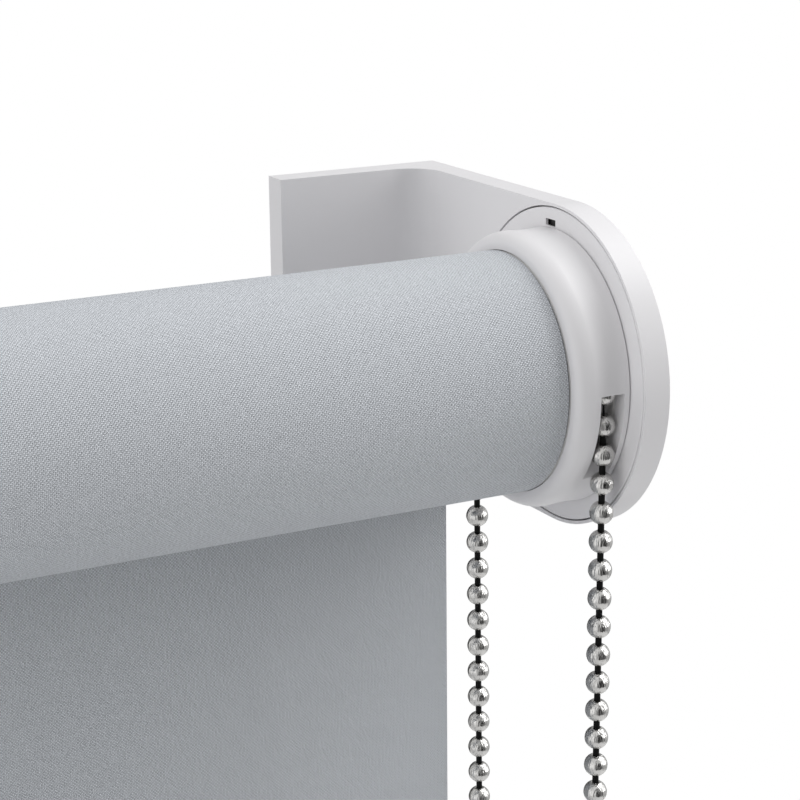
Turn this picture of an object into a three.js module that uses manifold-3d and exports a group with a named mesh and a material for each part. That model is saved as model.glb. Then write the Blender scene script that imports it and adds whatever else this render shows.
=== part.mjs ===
// Chain-operated roller blind on two wall brackets.
// Millimetres. +X runs along the roller to the chain end, +Y into the wall, +Z up.
// The origin is the middle of the chain-end bracket's back face, level with the roller's axis.
import * as THREE from 'three';
import { mergeVertices } from 'three/addons/utils/BufferGeometryUtils.js';
import Module from 'manifold-3d';

const wasm = await Module();
wasm.setup();

// ---- driving dimensions ----
const FABRIC_WIDTH = 560;
const FABRIC_DROP = 703.5; // roller axis to the cloth's lower end
const FABRIC_THICKNESS = 0.6;
const ROLL_RADIUS = 24.6;

const AXIS_OUT = 61.2; // wall to roller axis
const BRACKET_HEIGHT = 66.3;
const PLATE_WIDTH = 40.75;
const PLATE_THICKNESS = 6.2;
const ARM_THICKNESS = 5.7;
const ARM_GAP = 11.8; // cloth edge to the arm's inner face
const BRACKET_FILLET = 8;

const BRACKET_RIM = 0.95; // round end of the arm to the disc
const DISC_THICKNESS = 2.2;
const HUB_WALL = 0.67; // collar outside the chain's channel
const HUB_START = 0.35; // cloth edge to the collar's free face
const HUB_LAND = 0.9; // flat ring on that face
const HUB_ROUND = 3.4; // along the roller, from the flat ring to the full radius
const HUB_WAIST = 0.15;
const CHAIN_SLOT_TOP = 0.4; // above the axis
// The shift is towards the wall, and the wall is what is left of the disc in front of the catch.
const RELEASE_SLOT = { width: 3.6, height: 1.4, aboveHub: 0.15, wall: 0.7, shift: 1.7 };

const TUBE_RADIUS = 23;
const TUBE_WALL = 1.3;
const TUBE_INSET = 3; // cloth edge to the tube's end
const TUBE_KEY = { width: 9, depth: 2.6 };
const SPLINE = { width: 5.4, height: 1.5 };

const SPINDLE_RADIUS = 7.5;
const SPINDLE_LENGTH = 40; // past the cloth edge, into the tube
const SPINDLE_FLANGE = { radius: 12, thickness: 1 };
const SPRING_WALL = 1.4;
const SPRING_LENGTH = 13;
const SLEEVE_WALL = 2.2;
const DRUM_LENGTH = 38;

const BALL_DIAMETER = 4.8;
const CHAIN_PLANE = 7.76; // cloth edge to the chain's middle
const CHAIN_PITCH_RADIUS = 24.83;
const WHEEL_LAND = 0.43; // the wheel's flanges inside the chain's pitch circle
const STRAND_LENGTH = 812.25; // from axis height down to the loop
const STRAND_LEAN = 0.0136; // each strand leans in towards the other
const CONNECTOR = { length: 9.6, wall: 1, depth: 99 };
const STOP_BALL = { radius: 4.6, depth: 730.2 };

const BAR = { height: 28, thickness: 9, wall: 1.3, slot: 2.2, inset: 2.8, entry: 3.5 };
const BAR_CAP_PLUG = 12;

const PIN_RADIUS = 3.6;
const PIN_TRAVEL = 6;
const IDLE_SPRING = { length: 22, wall: 1.2 };
const PLUG_LENGTH = 44;

const SCREW = { shank: 2.1, head: 3.9, columnX: -7, fromEdge: 9.15, spacing: 14 };
const COVER = { margin: 6.15, thickness: 2.4, spigot: 5.2 };

const GAP = 0.3; // between pieces that rest on or turn in one another
const CHAIN_GAP = 0.3;
const ROUND = 32; // facets on turned pieces
const ROUND_LARGE = 48; // facets on discs and collars

// ---- values that follow ----
const TUBE_BORE = TUBE_RADIUS - TUBE_WALL;
const TUBE_LENGTH = FABRIC_WIDTH - 2 * TUBE_INSET;
const ARM_INNER = ARM_GAP;
const ARM_OUTER = ARM_GAP + ARM_THICKNESS;
const EDGE_X = PLATE_WIDTH / 2 - ARM_OUTER; // chain-end edge of the cloth
const END_RADIUS = BRACKET_HEIGHT / 2;
const CHANNEL_HALF = BALL_DIAMETER / 2 + CHAIN_GAP;
const CHANNEL_OUTER = CHAIN_PITCH_RADIUS + CHANNEL_HALF;
const GROOVE_RADIUS = CHAIN_PITCH_RADIUS - CHANNEL_HALF;
const FLANGE_RADIUS = CHAIN_PITCH_RADIUS - WHEEL_LAND;
const HUB_BORE = FLANGE_RADIUS + GAP;
const HUB_RADIUS = CHANNEL_OUTER + HUB_WALL;
const DISC_RADIUS = END_RADIUS - BRACKET_RIM;
const SLOT_LOW = HUB_RADIUS + RELEASE_SLOT.aboveHub;
const SCREW_ROWS = [0, 1].map((i) => -END_RADIUS + SCREW.fromEdge + i * SCREW.spacing).reverse();
const SPRING_BORE = SPINDLE_RADIUS + GAP;
const SLEEVE_BORE = SPRING_BORE + SPRING_WALL + GAP;
const DRUM_BORE = SLEEVE_BORE + SLEEVE_WALL + GAP;
const SPIGOT_RADIUS = 9;

// ---- materials ----
function material(color, roughness, metalness = 0) {
  return new THREE.MeshStandardMaterial({ color, roughness, metalness });
}
const whitePlastic = () => material(0xe9e8e8, 0.42);
const greyPlastic = () => material(0x8d8f93, 0.5);
const blackPlastic = () => material(0x1b1b1d, 0.5);
const cloth = () => material(0xb9bdc3, 0.9);
const aluminium = () => material(0xb4b7bb, 0.35, 1);
const steel = () => material(0xc4c2be, 0.16, 1);

// ---- solid helpers ----
function signedVolume(position, index) {
  const [a, b, c] = [new THREE.Vector3(), new THREE.Vector3(), new THREE.Vector3()];
  let sum = 0;
  for (let i = 0; i < index.length; i += 3) {
    a.fromArray(position, 3 * index[i]);
    b.fromArray(position, 3 * index[i + 1]);
    c.fromArray(position, 3 * index[i + 2]);
    sum += a.dot(b.cross(c));
  }
  return sum / 6;
}

// Closed geometry to a solid: seams merged, slivers at the axis dropped, faces turned outward.
function solid(geometry) {
  geometry.deleteAttribute('normal');
  geometry.deleteAttribute('uv');
  const merged = mergeVertices(geometry, 1e-3);
  const position = merged.attributes.position.array;
  const all = merged.index.array;
  const kept = [];
  for (let i = 0; i < all.length; i += 3) {
    const [a, b, c] = [all[i], all[i + 1], all[i + 2]];
    if (a !== b && b !== c && c !== a) kept.push(a, b, c);
  }
  if (signedVolume(position, kept) < 0) kept.reverse();
  const mesh = { numProp: 3, vertProperties: new Float32Array(position), triVerts: new Uint32Array(kept) };
  return new wasm.Manifold(new wasm.Mesh(mesh));
}

function toGeometry(body) {
  const mesh = body.getMesh();
  const geometry = new THREE.BufferGeometry();
  geometry.setAttribute('position', new THREE.BufferAttribute(mesh.vertProperties, 3));
  geometry.setIndex(new THREE.BufferAttribute(mesh.triVerts, 1));
  geometry.computeVertexNormals();
  return geometry;
}

function box(x0, x1, y0, y1, z0, z1) {
  const geometry = new THREE.BoxGeometry(x1 - x0, y1 - y0, z1 - z0);
  return solid(geometry.translate((x0 + x1) / 2, (y0 + y1) / 2, (z0 + z1) / 2));
}

// Turned about X: profile points are [radius, x], closed on itself.
function turned(profile, facets = ROUND) {
  const points = [...profile, profile[0]].map(([r, x]) => new THREE.Vector2(r, x));
  return solid(new THREE.LatheGeometry(points, facets).rotateZ(-Math.PI / 2));
}

function ring(inner, outer, x0, x1, facets = ROUND) {
  return turned([[inner, x0], [outer, x0], [outer, x1], [inner, x1]], facets);
}

function rod(radius, x0, x1, facets = ROUND) {
  return turned([[0, x0], [radius, x0], [radius, x1], [0, x1]], facets);
}

// Turned about Y, for the wall screws: profile points are [radius, y].
function turnedAboutY(profile, facets = 20) {
  const points = [...profile, profile[0]].map(([r, y]) => new THREE.Vector2(r, y));
  return solid(new THREE.LatheGeometry(points, facets));
}

// An outline drawn in (y, z), pushed along X from x0 to x1.
function alongX(shape, x0, x1, curveSegments = 12) {
  const geometry = new THREE.ExtrudeGeometry(shape, { depth: x1 - x0, bevelEnabled: false, curveSegments });
  const [x, y, z] = [new THREE.Vector3(1, 0, 0), new THREE.Vector3(0, 1, 0), new THREE.Vector3(0, 0, 1)];
  return solid(geometry.applyMatrix4(new THREE.Matrix4().makeBasis(y, z, x)).translate(x0, 0, 0));
}

// ---- placing ----
const blind = new THREE.Group();

// An end of the blind: local x is 0 at the cloth's edge and grows outward; y and z are from the axis.
function endGroup(side) {
  const group = new THREE.Group();
  group.position.set(side > 0 ? EDGE_X : EDGE_X - FABRIC_WIDTH, -AXIS_OUT, 0);
  group.userData.side = side;
  blind.add(group);
  return group;
}

function place(group, name, body, finish) {
  const side = group.userData.side ?? 1;
  const turnedBody = side > 0 ? body : body.mirror([1, 0, 0]);
  const mesh = new THREE.Mesh(toGeometry(turnedBody), finish);
  mesh.name = name;
  group.add(mesh);
}

const chainEnd = endGroup(1);
const idleEnd = endGroup(-1);
const roller = new THREE.Group();
roller.position.set(EDGE_X - FABRIC_WIDTH / 2, -AXIS_OUT, 0);
blind.add(roller);

// ---- brackets ----
function screwCutter(z) {
  const { shank, head, columnX } = SCREW;
  const front = AXIS_OUT - PLATE_THICKNESS;
  const sink = head - shank;
  const r = shank + GAP;
  const profile = [[0, front - 1], [head + GAP, front - 1], [head + GAP, front + 0.6],
    [r, front + 0.6 + sink], [r, AXIS_OUT + 1], [0, AXIS_OUT + 1]];
  return turnedAboutY(profile).translate([ARM_OUTER - PLATE_WIDTH / 2 + columnX, 0, z]);
}

// L-shaped moulding: wall plate, inner fillet and a round-ended arm with a seat for the disc.
function bracketBody() {
  const plateFront = AXIS_OUT - PLATE_THICKNESS;
  const [filletX, filletY] = [ARM_INNER - BRACKET_FILLET, plateFront - BRACKET_FILLET];
  const corner = new THREE.Shape();
  corner.moveTo(ARM_OUTER, AXIS_OUT);
  corner.lineTo(ARM_OUTER - PLATE_WIDTH, AXIS_OUT);
  corner.lineTo(ARM_OUTER - PLATE_WIDTH, plateFront);
  corner.lineTo(filletX, plateFront);
  corner.absarc(filletX, filletY, BRACKET_FILLET, Math.PI / 2, 0, true);
  corner.lineTo(ARM_INNER, -END_RADIUS - 1);
  corner.lineTo(ARM_OUTER, -END_RADIUS - 1);
  const height = { depth: BRACKET_HEIGHT, bevelEnabled: false, curveSegments: 6 };
  const angle = solid(new THREE.ExtrudeGeometry(corner, height).translate(0, 0, -END_RADIUS));
  const outline = new THREE.Shape();
  outline.moveTo(AXIS_OUT, -END_RADIUS);
  outline.lineTo(AXIS_OUT, END_RADIUS);
  outline.lineTo(0, END_RADIUS);
  outline.absarc(0, 0, END_RADIUS, Math.PI / 2, Math.PI * 1.5, false);
  const side = alongX(outline, ARM_OUTER - PLATE_WIDTH - 1, ARM_OUTER + 1, 28);
  let body = angle.intersect(side);
  body = body.subtract(rod(DISC_RADIUS + GAP, ARM_INNER - 1, ARM_INNER + DISC_THICKNESS + GAP, ROUND_LARGE));
  body = body.subtract(rod(SPIGOT_RADIUS + GAP, ARM_INNER, ARM_OUTER + 1));
  body = body.subtract(catchPocket());
  for (const z of SCREW_ROWS) body = body.subtract(screwCutter(z));
  return body;
}

// Pocket, half in the arm and half in the back of the disc, in which the release catch slides.
const CATCH = { width: 9, height: 9.2, thickness: 1.9, travel: 1.6 };
const CATCH_TOP = SLOT_LOW + RELEASE_SLOT.height + GAP;
const CATCH_FACE = ARM_INNER + RELEASE_SLOT.wall + GAP;
function catchPocket() {
  const half = CATCH.width / 2 + GAP;
  const { shift } = RELEASE_SLOT;
  return box(CATCH_FACE - GAP, CATCH_FACE + CATCH.thickness + GAP, shift - half, shift + half,
    CATCH_TOP - CATCH.height - CATCH.travel - GAP, CATCH_TOP + GAP);
}

function releaseCatch() {
  const [x0, x1] = [CATCH_FACE, CATCH_FACE + CATCH.thickness];
  const { shift } = RELEASE_SLOT;
  const half = CATCH.width / 2;
  return box(x0, x1, shift - half, shift + half, CATCH_TOP - CATCH.height, CATCH_TOP);
}

// Round base let into the arm, with the spigot that holds it there.
function baseDisc(bore) {
  const x1 = ARM_INNER + DISC_THICKNESS;
  const profile = [[bore, ARM_INNER], [DISC_RADIUS, ARM_INNER], [DISC_RADIUS, x1],
    [SPIGOT_RADIUS, x1], [SPIGOT_RADIUS, ARM_OUTER - GAP], [bore, ARM_OUTER - GAP]];
  const { width, height, wall, shift } = RELEASE_SLOT;
  const slot = box(ARM_INNER - 1, ARM_INNER + wall + 0.1, shift - width / 2, shift + width / 2,
    SLOT_LOW, SLOT_LOW + height);
  return turned(profile, ROUND_LARGE).subtract(slot).subtract(catchPocket());
}

// Snap-on cover over the spigot, outside the arm.
function outerCover() {
  const x1 = ARM_OUTER + GAP + COVER.thickness;
  const round = 1.2;
  const radius = END_RADIUS - COVER.margin;
  const profile = [[0, ARM_OUTER + GAP], [radius, ARM_OUTER + GAP],
    [radius, x1 - round], [radius - round, x1], [0, x1]];
  const stem = rod(COVER.spigot, ARM_OUTER - 2.4, ARM_OUTER + GAP + 0.5);
  return turned(profile, ROUND_LARGE).add(stem);
}

// Collar round the end of the roll, with a channel for the chain over its upper half if it is used.
function hubShell(channel) {
  const x1 = ARM_INNER - GAP;
  const profile = [[HUB_BORE, HUB_START]];
  const land = HUB_BORE + HUB_LAND;
  const steps = 5;
  for (let i = 0; i <= steps; i += 1) {
    const a = (Math.PI / 2) * (i / steps);
    profile.push([land + (HUB_RADIUS - land) * Math.sin(a), HUB_START + HUB_ROUND * (1 - Math.cos(a))]);
  }
  profile.push([HUB_RADIUS - HUB_WAIST, (HUB_ROUND + x1) / 2], [HUB_RADIUS, x1], [HUB_BORE, x1]);
  let body = turned(profile, ROUND_LARGE);
  if (!channel) return body;
  const [x0, xEnd] = [CHAIN_PLANE - CHANNEL_HALF, CHAIN_PLANE + CHANNEL_HALF];
  const above = box(x0 - 1, xEnd + 1, -50, 50, CHAIN_SLOT_TOP - 1, 50);
  const arch = rod(CHANNEL_OUTER, x0, xEnd, ROUND_LARGE).intersect(above);
  body = body.subtract(arch);
  for (const side of [-1, 1]) {
    const [near, far] = [side * (GROOVE_RADIUS - STRAND_LEAN * HUB_RADIUS), side * 40];
    body = body.subtract(box(x0, xEnd, Math.min(near, far), Math.max(near, far), -50, CHAIN_SLOT_TOP));
  }
  return body;
}

for (const [group, tag] of [[chainEnd, 'control'], [idleEnd, 'idle']]) {
  place(group, `bracket_${tag}`, bracketBody(), whitePlastic());
  place(group, `outer_cover_${tag}`, outerCover(), whitePlastic());
  place(group, `release_catch_${tag}`, releaseCatch(), blackPlastic());
}
place(chainEnd, 'clutch_base_disc', baseDisc(COVER.spigot + GAP), whitePlastic());
place(chainEnd, 'chain_guard', hubShell(true), whitePlastic());
place(idleEnd, 'idle_base_disc', baseDisc(COVER.spigot + GAP), whitePlastic());
place(idleEnd, 'idle_guard_ring', hubShell(false), whitePlastic());

// ---- wall screws ----
function wallScrew(z) {
  const { shank, head, columnX } = SCREW;
  const front = AXIS_OUT - PLATE_THICKNESS + 0.6;
  const sink = head - shank;
  const tip = AXIS_OUT - GAP;
  const profile = [[0, front], [head, front], [shank, front + sink], [shank, tip], [0, tip]];
  const x = ARM_OUTER - PLATE_WIDTH / 2 + columnX;
  const upright = box(-0.5, 0.5, front - 1, front + 1.2, -2, 2);
  const cross = upright.add(box(-2, 2, front - 1, front + 1.2, -0.5, 0.5));
  return turnedAboutY(profile).subtract(cross).translate([x, 0, z]);
}
for (const [group, tag] of [[chainEnd, 'control'], [idleEnd, 'idle']]) {
  SCREW_ROWS.forEach((z, i) => place(group, `wall_screw_${tag}_${i + 1}`, wallScrew(z), steel()));
}

// ---- clutch ----
// Fixed spindle: a flange against the disc, a plain shaft and a stub for the retaining screw.
function spindle() {
  const { radius, thickness } = SPINDLE_FLANGE;
  const face = ARM_INNER - GAP;
  const bore = SCREW.shank + GAP;
  const step = face - thickness;
  const profile = [[bore, face], [radius, face], [radius, step], [SPINDLE_RADIUS, step],
    [SPINDLE_RADIUS, -SPINDLE_LENGTH], [bore, -SPINDLE_LENGTH]];
  return turned(profile);
}
place(chainEnd, 'clutch_spindle', spindle(), steel());

for (let i = 0; i < 2; i += 1) {
  const x1 = -3 - i * (SPRING_LENGTH + 1.5);
  const body = ring(SPRING_BORE, SPRING_BORE + SPRING_WALL, x1 - SPRING_LENGTH, x1, 32);
  place(chainEnd, `wrap_spring_${i + 1}`, body, steel());
}

// Chain wheel: a spool in the guard with a sleeve that reaches over the wrap springs.
function chainWheel() {
  const [x0, x1] = [CHAIN_PLANE - CHANNEL_HALF, CHAIN_PLANE + CHANNEL_HALF];
  const end = ARM_INNER - 2 * GAP;
  const step = end - SPINDLE_FLANGE.thickness;
  const recess = SPINDLE_FLANGE.radius + GAP;
  const tip = 6 - SPINDLE_LENGTH;
  const sleeve = SLEEVE_BORE + SLEEVE_WALL;
  const profile = [[SLEEVE_BORE, tip], [SLEEVE_BORE, step], [recess, step], [recess, end],
    [FLANGE_RADIUS, end], [FLANGE_RADIUS, x1], [GROOVE_RADIUS, x1], [GROOVE_RADIUS, x0], [FLANGE_RADIUS, x0],
    [FLANGE_RADIUS, HUB_START], [sleeve, HUB_START], [sleeve, tip]];
  return turned(profile);
}
place(chainEnd, 'chain_wheel', chainWheel(), whitePlastic());

// Key seat down a plug that fits the tube's inner rib.
function keyCutter(x0, x1) {
  const half = TUBE_KEY.width / 2 + GAP;
  return box(x0, x1, -half, half, -TUBE_RADIUS - 2, -TUBE_RADIUS + TUBE_KEY.depth + GAP + 0.6);
}

// Drum driven by the springs; it fills the tube's end.
function drum() {
  const lip = -HUB_START;
  const profile = [[DRUM_BORE, lip], [TUBE_RADIUS - GAP, lip], [TUBE_RADIUS - GAP, GAP - TUBE_INSET],
    [TUBE_BORE - GAP, GAP - TUBE_INSET], [TUBE_BORE - GAP, -DRUM_LENGTH], [DRUM_BORE, -DRUM_LENGTH]];
  return turned(profile).subtract(keyCutter(-DRUM_LENGTH - 1, GAP - TUBE_INSET));
}
place(chainEnd, 'clutch_drum', drum(), blackPlastic());

const washerX = -SPINDLE_LENGTH - GAP;
place(chainEnd, 'spindle_washer', ring(2.5, SLEEVE_BORE, washerX - 1, washerX, 24), steel());

function retainingScrew() {
  const head = washerX - 1 - GAP;
  const { shank } = SCREW;
  const profile = [[0, head - 2.4], [4, head - 2.4], [4, head], [shank, head], [shank, -18], [0, -18]];
  return turned(profile, 20).subtract(box(head - 3, head - 1.2, -5, 5, -0.6, 0.6));
}
place(chainEnd, 'retaining_screw', retainingScrew(), steel());

// ---- idle end ----
// The plug turns with the tube and carries the sprung pin, which turns in a bush in the base.
const PIN_REACH = ARM_INNER + 1.6;
const BUSH_BORE = PIN_RADIUS + GAP;
const springX = -8; // outer end of the spring's chamber
const CHAMBER_RADIUS = PIN_RADIUS + GAP + IDLE_SPRING.wall + GAP;
function idlePlug() {
  const lip = -HUB_START;
  const floor = springX - IDLE_SPRING.length - GAP;
  const profile = [[BUSH_BORE, lip], [TUBE_RADIUS - GAP, lip], [TUBE_RADIUS - GAP, GAP - TUBE_INSET],
    [TUBE_BORE - GAP, GAP - TUBE_INSET], [TUBE_BORE - GAP, -PLUG_LENGTH], [BUSH_BORE, -PLUG_LENGTH],
    [BUSH_BORE, floor], [CHAMBER_RADIUS, floor], [CHAMBER_RADIUS, springX + 3], [BUSH_BORE, springX + 3]];
  return turned(profile).subtract(keyCutter(-PLUG_LENGTH - 1, GAP - TUBE_INSET));
}
place(idleEnd, 'idle_plug', idlePlug(), blackPlastic());

function idlePin() {
  const collar = CHAMBER_RADIUS - GAP;
  const tail = springX - IDLE_SPRING.length - 4;
  const profile = [[0, tail], [PIN_RADIUS, tail], [PIN_RADIUS, springX + GAP], [collar, springX + GAP],
    [collar, springX + 3 - GAP], [PIN_RADIUS, springX + 3 - GAP], [PIN_RADIUS, PIN_REACH - 1],
    [PIN_RADIUS - 1, PIN_REACH], [0, PIN_REACH]];
  return turned(profile, 24);
}
place(idleEnd, 'idle_pin', idlePin(), steel());

const springWall = ring(BUSH_BORE, BUSH_BORE + IDLE_SPRING.wall, springX - IDLE_SPRING.length, springX, 24);
place(idleEnd, 'idle_spring', springWall, steel());

// Bush standing on the base disc, with a washer face towards the plug.
function idleBush() {
  const x1 = ARM_INNER - GAP;
  const profile = [[BUSH_BORE, 1], [12, 1], [12, 3], [9, 3], [9, x1], [BUSH_BORE, x1]];
  return turned(profile, 32);
}
place(idleEnd, 'idle_bush', idleBush(), greyPlastic());

// ---- roller and cloth ----
// Tube with an outside groove for the cloth's spline and an inner rib behind it.
function rollerTube() {
  const half = TUBE_LENGTH / 2;
  const ribHalf = TUBE_KEY.width / 2;
  const ribTop = -TUBE_RADIUS + TUBE_KEY.depth + 0.6;
  const rib = box(-half, half, -ribHalf, ribHalf, -TUBE_RADIUS + 0.9, ribTop);
  const grooveHalf = SPLINE.width / 2 + GAP;
  const groove = box(-half - 1, half + 1, -grooveHalf, grooveHalf,
    -TUBE_RADIUS - 1, -TUBE_RADIUS + SPLINE.height + 2 * GAP);
  return ring(TUBE_BORE, TUBE_RADIUS, -half, half, ROUND_LARGE).add(rib).subtract(groove);
}
place(roller, 'roller_tube', rollerTube(), aluminium());

function tubeSpline() {
  const [half, low] = [TUBE_LENGTH / 2, -TUBE_RADIUS + GAP];
  return box(-half + 2, half - 2, -SPLINE.width / 2, SPLINE.width / 2, low, low + SPLINE.height);
}
place(roller, 'tube_spline', tubeSpline(), whitePlastic());

const rollInner = TUBE_RADIUS + GAP;
const rollBody = ring(rollInner, ROLL_RADIUS, -FABRIC_WIDTH / 2, FABRIC_WIDTH / 2, ROUND_LARGE);
place(roller, 'fabric_roll', rollBody, cloth());

// The cloth leaves the back of the roll and hangs in the plane that touches it.
function hangingCloth() {
  const half = FABRIC_WIDTH / 2;
  const top = -Math.sqrt(ROLL_RADIUS ** 2 - (ROLL_RADIUS - FABRIC_THICKNESS / 2 - GAP) ** 2);
  const y = ROLL_RADIUS;
  return box(-half, half, y - FABRIC_THICKNESS / 2, y + FABRIC_THICKNESS / 2, -FABRIC_DROP, top);
}
place(roller, 'fabric_drop', hangingCloth(), cloth());

// ---- hem bar ----
const barTop = -FABRIC_DROP + BAR.entry;
function capsule(halfThickness, low, high) {
  const shape = new THREE.Shape();
  shape.moveTo(ROLL_RADIUS - halfThickness, low + halfThickness);
  shape.lineTo(ROLL_RADIUS - halfThickness, high - halfThickness);
  shape.absarc(ROLL_RADIUS, high - halfThickness, halfThickness, Math.PI, 0, true);
  shape.lineTo(ROLL_RADIUS + halfThickness, low + halfThickness);
  shape.absarc(ROLL_RADIUS, low + halfThickness, halfThickness, 0, -Math.PI, true);
  return shape;
}

function hemBar() {
  const half = FABRIC_WIDTH / 2 - BAR.inset;
  const { height, thickness, wall } = BAR;
  const outer = alongX(capsule(thickness / 2, barTop - height, barTop), -half, half, 8);
  const inside = capsule(thickness / 2 - wall, barTop - height + wall, barTop - wall);
  return outer.subtract(alongX(inside, -half - 1, half + 1, 8)).subtract(clothMouth(-half - 1, half + 1));
}

// The slot in the top of the bar and its caps that the cloth goes down into.
function clothMouth(x0, x1) {
  const half = BAR.slot / 2;
  return box(x0, x1, ROLL_RADIUS - half, ROLL_RADIUS + half, barTop - BAR.entry - GAP, barTop + 1);
}
place(roller, 'hem_bar', hemBar(), aluminium());

function hemSpline() {
  const half = FABRIC_WIDTH / 2 - BAR.inset - BAR_CAP_PLUG - 2;
  const low = barTop - BAR.entry - GAP;
  const wide = SPLINE.width / 2;
  return box(-half, half, ROLL_RADIUS - wide, ROLL_RADIUS + wide, low - 3, low);
}
place(roller, 'hem_spline', hemSpline(), whitePlastic());

function hemCap(side) {
  const { height, thickness, wall, inset } = BAR;
  const edge = FABRIC_WIDTH / 2;
  const face = edge - inset + GAP;
  const inner = thickness / 2 - wall - GAP;
  const flange = alongX(capsule(thickness / 2, barTop - height, barTop), face, edge, 8);
  const stem = alongX(capsule(inner, barTop - height + wall + GAP, barTop - wall - 4),
    face - BAR_CAP_PLUG, face + 0.5, 8);
  const body = flange.subtract(clothMouth(face - 1, edge + 1)).add(stem);
  return side > 0 ? body : body.mirror([1, 0, 0]);
}
place(roller, 'hem_cap_right', hemCap(1), whitePlastic());
place(roller, 'hem_cap_left', hemCap(-1), whitePlastic());

// ---- ball chain ----
// Plain tubes along the chain's route: over the wheel, down both strands and round the loop.
function strandPoint(side, depth) {
  return new THREE.Vector3(CHAIN_PLANE, side * (CHAIN_PITCH_RADIUS - STRAND_LEAN * depth), -depth);
}

class ArcRoute extends THREE.Curve {
  constructor(centreZ, radius, from, to) {
    super();
    Object.assign(this, { centreZ, radius, from, to });
  }

  getPoint(t, target = new THREE.Vector3()) {
    const a = this.from + (this.to - this.from) * t;
    return target.set(CHAIN_PLANE, this.radius * Math.cos(a), this.centreZ + this.radius * Math.sin(a));
  }
}

function cordTube(path, steps) {
  const section = new THREE.Shape();
  section.absarc(0, 0, BALL_DIAMETER / 2, 0, Math.PI * 2);
  const options = { steps, extrudePath: path, bevelEnabled: false, curveSegments: 4 };
  return solid(new THREE.ExtrudeGeometry(section, options));
}

const loopRadius = CHAIN_PITCH_RADIUS - STRAND_LEAN * STRAND_LENGTH;
const overWheel = new ArcRoute(0, CHAIN_PITCH_RADIUS, 0, Math.PI);
const loopTrim = 1.2 * GAP / loopRadius;
const underLoop = new ArcRoute(-STRAND_LENGTH, loopRadius, -loopTrim, -Math.PI + loopTrim);
place(chainEnd, 'chain_in_guard', cordTube(overWheel, 14), steel());
place(chainEnd, 'chain_loop', cordTube(underLoop, 10), steel());
for (const [name, side] of [['chain_front', -1], ['chain_back', 1]]) {
  const path = new THREE.LineCurve3(strandPoint(side, GAP), strandPoint(side, STRAND_LENGTH));
  place(chainEnd, name, cordTube(path, 6), steel());
}

// A sleeve or stop that runs on a strand, centred at the given depth and lined up with the strand.
function onStrand(side, depth, profile, facets) {
  const body = turned(profile, facets);
  const mesh = toGeometry(body).rotateY(Math.PI / 2).rotateX(side * -STRAND_LEAN);
  return solid(mesh.translate(...strandPoint(side, depth).toArray()));
}

const runBore = BALL_DIAMETER / 2 + 2 * CHAIN_GAP;
const sleeveHalf = CONNECTOR.length / 2;
const sleeveOuter = runBore + CONNECTOR.wall;
const sleeveProfile = [[runBore, -sleeveHalf], [sleeveOuter - 0.5, -sleeveHalf],
  [sleeveOuter, -sleeveHalf + 0.6], [sleeveOuter, sleeveHalf - 0.6],
  [sleeveOuter - 0.5, sleeveHalf], [runBore, sleeveHalf]];
place(chainEnd, 'chain_connector', onStrand(-1, CONNECTOR.depth, sleeveProfile, 20), whitePlastic());

const ballProfile = [];
const mouthAngle = Math.acos(runBore / STOP_BALL.radius);
for (let i = -5; i <= 5; i += 1) {
  const a = (mouthAngle * i) / 5;
  ballProfile.push([STOP_BALL.radius * Math.cos(a), STOP_BALL.radius * Math.sin(a)]);
}
place(chainEnd, 'stop_ball', onStrand(1, STOP_BALL.depth, ballProfile, 20), whitePlastic());

export default blind;
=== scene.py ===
import math
import bpy
import bmesh
import numpy as np
from mathutils import Matrix, Vector


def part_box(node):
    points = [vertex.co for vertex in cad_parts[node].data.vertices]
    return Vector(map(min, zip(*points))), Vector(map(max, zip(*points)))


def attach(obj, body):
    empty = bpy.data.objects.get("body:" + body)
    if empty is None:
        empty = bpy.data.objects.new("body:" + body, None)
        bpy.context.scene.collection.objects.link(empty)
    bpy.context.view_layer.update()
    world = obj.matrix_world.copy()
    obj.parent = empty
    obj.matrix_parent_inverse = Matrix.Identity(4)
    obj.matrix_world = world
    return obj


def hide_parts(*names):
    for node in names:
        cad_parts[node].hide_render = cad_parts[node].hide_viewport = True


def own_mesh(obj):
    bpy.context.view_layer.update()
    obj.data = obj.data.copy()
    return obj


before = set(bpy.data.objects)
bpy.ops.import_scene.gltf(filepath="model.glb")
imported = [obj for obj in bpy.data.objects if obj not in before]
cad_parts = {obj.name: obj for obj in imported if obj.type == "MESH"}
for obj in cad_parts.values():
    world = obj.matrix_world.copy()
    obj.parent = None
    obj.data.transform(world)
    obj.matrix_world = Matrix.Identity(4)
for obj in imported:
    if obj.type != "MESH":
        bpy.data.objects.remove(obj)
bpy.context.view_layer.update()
scene = bpy.context.scene
scene.view_settings.view_transform = "Standard"

# ---------------------------------------------------------------- camera
# A long lens close to the chain end of the blind, a little above the roller and to the left of the bracket.
# The picture is framed with the lens moved in its mount by a twentieth of the frame, and with a slight roll.
yaw, pitch, roll = math.radians(27.966), math.radians(14.287), math.radians(-0.544)
camera_data = bpy.data.cameras.new("camera")
camera_data.lens = 98.42
camera_data.shift_y = -0.05
camera_data.clip_start = 0.02
camera = bpy.data.objects.new("camera", camera_data)
scene.collection.objects.link(camera)
camera.matrix_world = (
    Matrix.Translation((-0.21636, -0.42929, 0.11148))
    @ Matrix.Rotation(-yaw, 4, "Z")
    @ Matrix.Rotation(math.pi / 2 - pitch, 4, "X")
    @ Matrix.Rotation(roll, 4, "Z")
)
scene.camera = camera

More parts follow.
